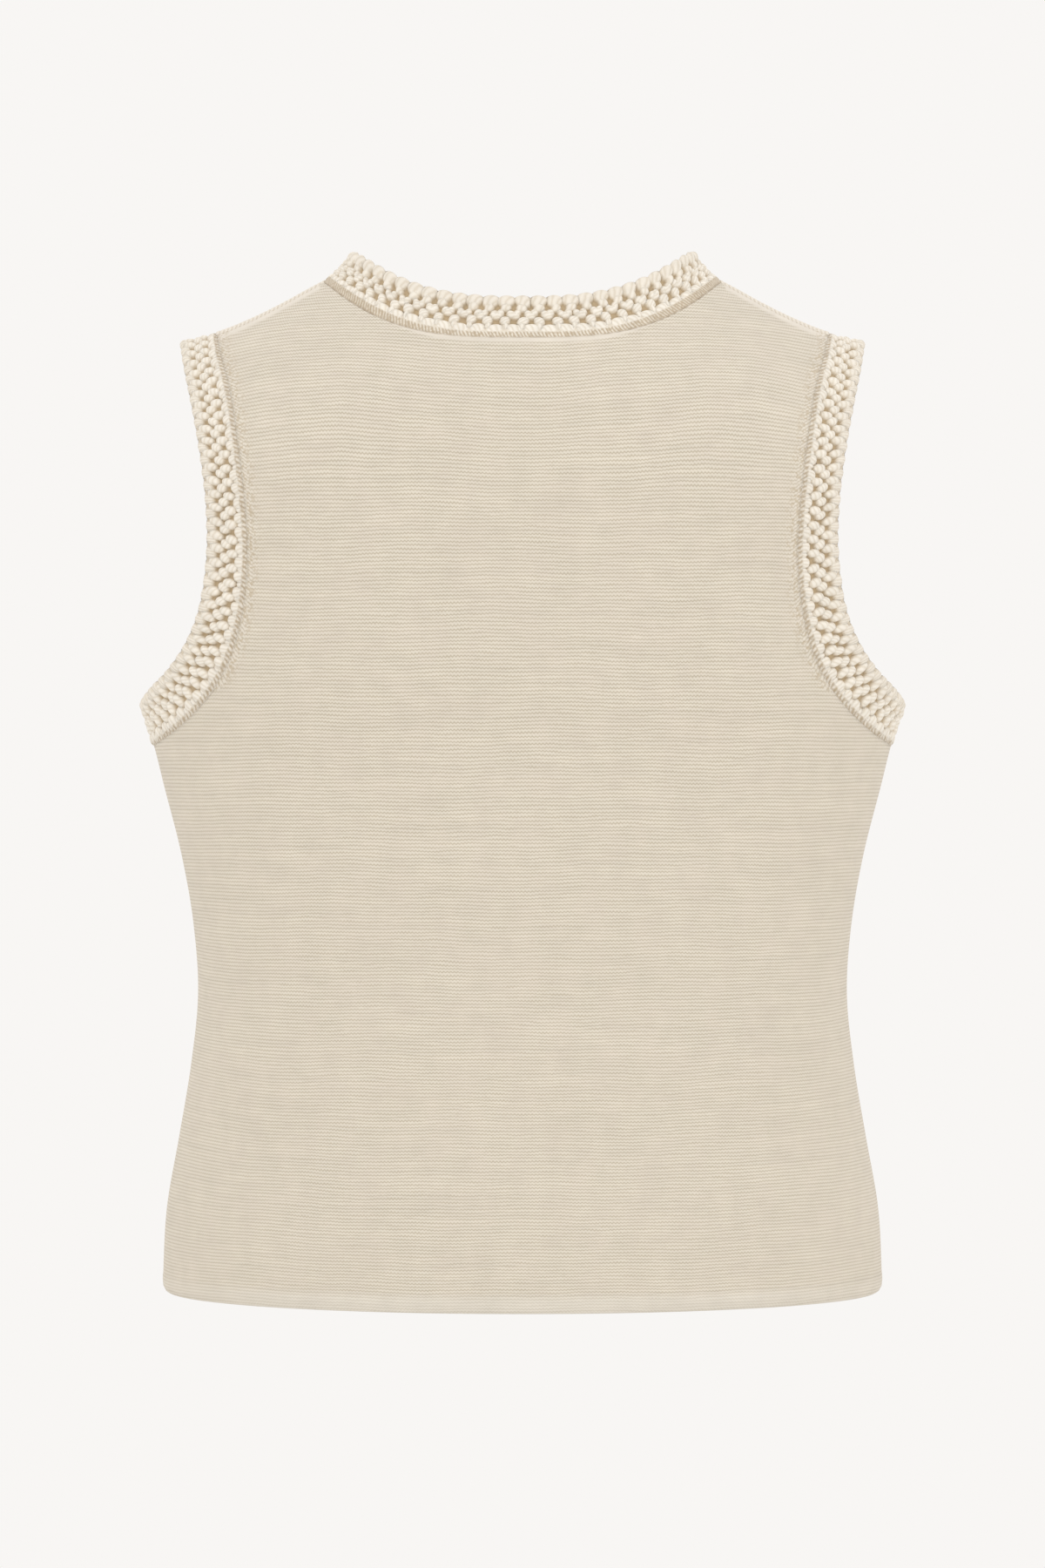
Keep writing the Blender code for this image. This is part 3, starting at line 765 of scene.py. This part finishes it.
def knitTone(tree, aboveHem):  # streaks along the rows, soft mottling and the line of the turned hem
    streak = noise(tree, 1.0, 2, "stitches", (0.02, 0.55, 1))
    mottle = noise(tree, knitLook["mottleScale"], 4)
    tone = plus(tree, times(tree, streak, 0.5), times(tree, mottle, 0.5))
    tone = ranged(tree, tone, 0.32, 0.68, 1 - knitLook["mottle"], 1 + knitLook["mottle"])
    fromFold = calc(tree, "ABSOLUTE", minus(tree, aboveHem, panel["hemTurn"]))
    return times(tree, tone, ranged(tree, fromFold, 0.2, 0.9, 1 - knitLook["hemLine"], 1))


def buildKnit(name, jersey):
    made, tree, shader = startMaterial(name, knitLook["bright"], knitLook["roughness"], knitLook["sheen"])
    height = stitchHeight(tree, *uvPlaces(tree), jersey)
    odd = ranged(tree, noise(tree, 1.0, 2, "stitches", (0.9, 1.1, 1)), 0.3, 0.7, 0.88, 1.08)
    height = times(tree, height, odd)
    below, aboveHem, toArmhole = (shadeOf(tree, key) for key in ("below", "aboveHem", "toArmhole"))
    underNeck = ranged(tree, shadeOf(tree, "belowNeck"), 2.6, 1.6, 0, 0.8)
    flat = calc(tree, "MAXIMUM", ranged(tree, below, 5.4, 3.6, 0, 1), underNeck)  # rows that roll, smooth
    height = calc(tree, "MAXIMUM", height, times(tree, flat, knitLook["rollHeight"]))
    # painted shade: darker where the stitch height is low, between the stitch tops
    color = mixed(tree, ranged(tree, height, 0.0, 0.9, 0, 1), knitLook["dark"], knitLook["bright"])
    # the painted shade between stitches is evened out towards the sides
    towardSide = ranged(tree, fromMiddleLine(tree), *knitLook["side"], 0, 1)
    color = mixed(tree, times(tree, towardSide, knitLook["evenAtSide"]), color, knitLook["even"])
    blush = ranged(tree, noise(tree, knitLook["blushScale"], 3), 0.42, 0.62, 0, knitLook["blushShare"])
    color = mixed(tree, times(tree, blush, height), color, knitLook["blush"])
    turned = ranged(tree, aboveHem, panel["hemTurn"] + 1, panel["hemTurn"] - 3, 0, knitLook["turnedShare"])
    turned = times(tree, turned, minus(tree, 1.0, times(tree, towardSide, knitLook["turnedFade"])))
    color = mixed(tree, turned, color, knitLook["turned"])
    color = mixed(tree, times(tree, flat, knitLook["rollShare"]), color, knitLook["roll"])
    # lighter beside the armhole seam: partly the paler slanted stitches there, partly painted light that
    # lifts the shade of the band's lip and of the panel turning away
    beside = ranged(tree, toArmhole, 8.0, 2.0, 0, knitLook["paleAndPaintedLightBesideArmhole"])
    color = mixed(tree, times(tree, beside, height), color, knitLook["roll"])
    gaps = times(tree, ranged(tree, toArmhole, 8.0, 3.0, 0, 1), specks(tree, knitLook["specks"]))
    color = mixed(tree, gaps, color, knitLook["dot"])
    color = mixed(tree, linkDots(tree, below), color, knitLook["dot"])
    colored(tree, shader, color, knitTone(tree, aboveHem))
    bumped(tree, shader, height, knitLook["depth"], knitLook["bump"])
    return made


crochetLook = {
    # line, pit and tan are colours of painted shade; seam is the dark joint
    "yarn": (0.950, 0.895, 0.800), "line": (0.680, 0.590, 0.455), "pit": (0.560, 0.442, 0.288),
    "tan": (0.520, 0.415, 0.285), "seam": (0.370, 0.280, 0.180),
    "roughness": 0.85, "sheen": 0.15, "depth": 0.35, "bump": 0.6,
    "lineShare": 0.5, "creviceShare": 0.55, "gapShare": 0.9,
    "fringeShade": 0.28, "shoulderShade": 0.45, "shoulderSeam": 0.6,  # more near the shoulders
    "shoulder": (0.035, 0.08), "shoulderWiden": 1.4, "fringeSlant": 0.3,
}


def strandHeight(tree, place, drift):
    turn = times(tree, plus(tree, place, drift), 2 * math.pi)
    return ranged(tree, calc(tree, "SINE", turn), -1, 1, 0, 1)


def paintLumps(tree, core, onFringe, strand, edgeShade):  # strands, with painted shade between them, in the crevices, along the free edge and in the holes
    # painted shade in the grooves between strands
    line = times(tree, calc(tree, "POWER", minus(tree, 1.0, strand), 2.5), core)
    color = mixed(tree, times(tree, line, crochetLook["lineShare"]), crochetLook["yarn"], crochetLook["line"])
    # painted shade in the crevices round each lump
    crevice = calc(tree, "POWER", minus(tree, 1.0, calc(tree, "MAXIMUM", core, onFringe)), 2.0)
    color = mixed(tree, times(tree, crevice, crochetLook["creviceShare"]), color, crochetLook["line"])
    # painted shade: tan along the free edge, where the scallops face up to the light
    color = mixed(tree, ranged(tree, shadeOf(tree, "fromEdge"), 1, 9, edgeShade, 0), color, crochetLook["tan"])
    # painted shade in the pits
    return mixed(tree, calc(tree, "POWER", shadeOf(tree, "hollow"), 1.3), color, crochetLook["pit"])


def paintFringe(tree, color, look, fringe, loops, reach):  # the loops that join the band to the knit
    shaded = plus(tree, times(tree, reach, crochetLook["shoulderShade"]), crochetLook["fringeShade"])
    color = mixed(tree, times(tree, fringe, shaded), color, crochetLook["line"])
    # painted shade in the gaps between the loops and in small specks along the fringe
    gap = times(tree, fringe, calc(tree, "POWER", minus(tree, 1.0, loops), 1.5))
    color = mixed(tree, times(tree, gap, crochetLook["gapShare"]), color, crochetLook["tan"])
    return mixed(tree, times(tree, fringe, specks(tree, look["specks"])), color, crochetLook["tan"])


def paintSeam(tree, color, look, toSeam, reach):  # the dark line where the band meets the knit
    wide, strength = look["seamLine"]
    uneven = ranged(tree, noise(tree, 1.0, 2, "stitches", (2.2, 1.0, 1)), 0.35, 0.65, 0.4, 1.0)
    line = times(tree, ranged(tree, toSeam, wide, wide * 0.3, 0, strength), uneven)
    line = times(tree, line, plus(tree, times(tree, reach, crochetLook["shoulderSeam"]), 0.6))
    return mixed(tree, line, color, crochetLook["seam"])


def buildCrochet(name, look):
    finish = crochetLook["roughness"], crochetLook["sheen"]
    made, tree, shader = startMaterial(name, crochetLook["yarn"], *finish)
    near, far = look["fringe"]
    toSeam = minus(tree, look["width"], shadeOf(tree, "fromEdge"))
    drift = ranged(tree, noise(tree, 1.0, 2, "stitches", (1.3, 1.3, 1)), 0, 1, -0.5, 0.5)
    reach = ranged(tree, fromMiddleLine(tree), *crochetLook["shoulder"], 0, look["nearShoulder"])
    onFringe = minus(tree, toSeam, times(tree, reach, crochetLook["shoulderWiden"]))
    onFringe = ranged(tree, onFringe, far - 0.4, far - 1.2, 0, 1)
    core = times(tree, shadeOf(tree, "core"), minus(tree, 1.0, onFringe))
    strand = strandHeight(tree, shadeOf(tree, "strand"), drift)
    color = paintLumps(tree, core, onFringe, strand, look["edgeShade"])
    place = times(tree, uvPlaces(tree)[0], look["fringeStrands"])
    place = plus(tree, place, times(tree, toSeam, crochetLook["fringeSlant"]))
    loops = strandHeight(tree, place, drift)
    fringe = times(tree, onFringe, ranged(tree, toSeam, near - 0.2, near + 0.3, 0, 1))
    color = paintFringe(tree, color, look, fringe, loops, reach)
    color = paintSeam(tree, color, look, toSeam, reach)
    tone = ranged(tree, noise(tree, 200, 3), 0.3, 0.7, 0.94, 1.03)
    # painted shade: the band darker next to its seam
    tone = times(tree, tone, ranged(tree, toSeam, 0, 4, look["seamShade"], 1))
    colored(tree, shader, color, tone)
    height = plus(tree, times(tree, strand, core), times(tree, loops, fringe))
    bumped(tree, shader, height, crochetLook["depth"], crochetLook["bump"])
    return made


linkingLook = {
    "yarn": (0.900, 0.835, 0.735), "gap": (0.500, 0.410, 0.280),
    "roughness": 0.9, "sheen": 0.1, "depth": 0.4, "bump": 0.6,
}


def buildLinking(name):
    finish = linkingLook["roughness"], linkingLook["sheen"]
    made, tree, shader = startMaterial(name, linkingLook["yarn"], *finish)
    stroke, share = uvPlaces(tree)
    wave = arches(tree, stroke)
    fromMiddle = calc(tree, "ABSOLUTE", minus(tree, share, 0.5))
    # painted shade in the gaps between the strokes, strongest along the strip's edges
    edge = ranged(tree, fromMiddle, 0.30, 0.42, 0.15, 0.45)
    gap = times(tree, calc(tree, "POWER", minus(tree, 1.0, wave), 0.7), edge)
    color = mixed(tree, gap, linkingLook["yarn"], linkingLook["gap"])
    tree.links.new(color, shader.inputs["Base Color"])
    bumped(tree, shader, wave, linkingLook["depth"], linkingLook["bump"])
    return made


purl = buildKnit("ecru_purl_knit", False)
plain = buildKnit("ecru_plain_knit", True)
neckCrochet = buildCrochet("ecru_neck_crochet", neckBand)
armCrochet = buildCrochet("ecru_armhole_crochet", armholeBand)
linking = buildLinking("ecru_linking")
backPanel = buildPanel("back_panel", back, [purl, plain])
frontPanel = buildPanel("front_panel", front, [purl, plain])
print("vest: panels ready", len(backPanel.data.polygons), len(frontPanel.data.polygons))

neckPiece = buildBand("neck_band", neckBand, neckRing(neckBand), 1, neckCrochet, 3)
rightPiece = buildBand("armhole_band_right", armholeBand, armholeRing(armholeBand, 1), 1, armCrochet, 11)
leftPiece = buildBand("armhole_band_left", armholeBand, armholeRing(armholeBand, -1), -1, armCrochet, 29)
print("vest: bands ready", len(neckPiece.data.polygons), len(rightPiece.data.polygons))

rightStrip = buildStrip("shoulder_seam_right", 1, linking)
leftStrip = buildStrip("shoulder_seam_left", -1, linking)
print("vest: shoulder seams ready")

studio = {
    "wall": (0.939, 0.922, 0.904), "wallStrength": 1.0,
    "keyPower": 12, "keySize": 2.4, "keyAt": (-0.9, -2.6, 1.9),
    "fillPower": 7, "fillSize": 2.5, "fillAt": (2.0, -2.0, -0.6),
    "floorZ": -0.9, "floorSize": 3.2, "floor": (0.86, 0.85, 0.83), "aim": (0, 0, -0.25),
}


def addLight(name, place, size, power):
    light = bpy.data.lights.new(name, "AREA")
    light.size = size
    light.energy = power
    made = bpy.data.objects.new(name, light)
    made.location = place
    aim = Vector(studio["aim"]) - Vector(place)
    made.rotation_euler = aim.to_track_quat("-Z", "Y").to_euler()
    bpy.context.scene.collection.objects.link(made)


def buildStudio():
    world = bpy.data.worlds.new("studio")
    world.use_nodes = True
    shade = world.node_tree.nodes["Background"]
    shade.inputs["Color"].default_value = (*studio["wall"], 1)
    shade.inputs["Strength"].default_value = studio["wallStrength"]
    bpy.context.scene.world = world
    addLight("key", studio["keyAt"], studio["keySize"], studio["keyPower"])
    addLight("fill", studio["fillAt"], studio["fillSize"], studio["fillPower"])
    bpy.ops.object.select_all(action="DESELECT")
    bpy.ops.mesh.primitive_plane_add(size=studio["floorSize"], location=(0, -0.4, studio["floorZ"]))
    floor = bpy.context.object
    floor.name = "floor"
    floor.data.materials.append(startMaterial("pale_floor", studio["floor"], 0.9, 0)[0])


view = {"at": (0, -2.376, -0.24725), "lens": 110.52, "sensor": 36}


def buildCamera():
    lens = bpy.data.cameras.new("camera")
    lens.lens = view["lens"]
    lens.sensor_width = view["sensor"]
    made = bpy.data.objects.new("camera", lens)
    made.location = view["at"]
    made.rotation_euler = (math.pi / 2, 0, 0)
    bpy.context.scene.collection.objects.link(made)
    bpy.context.scene.camera = made


buildStudio()
buildCamera()
bpy.context.scene.view_settings.view_transform = "Standard"
print("vest: studio ready")
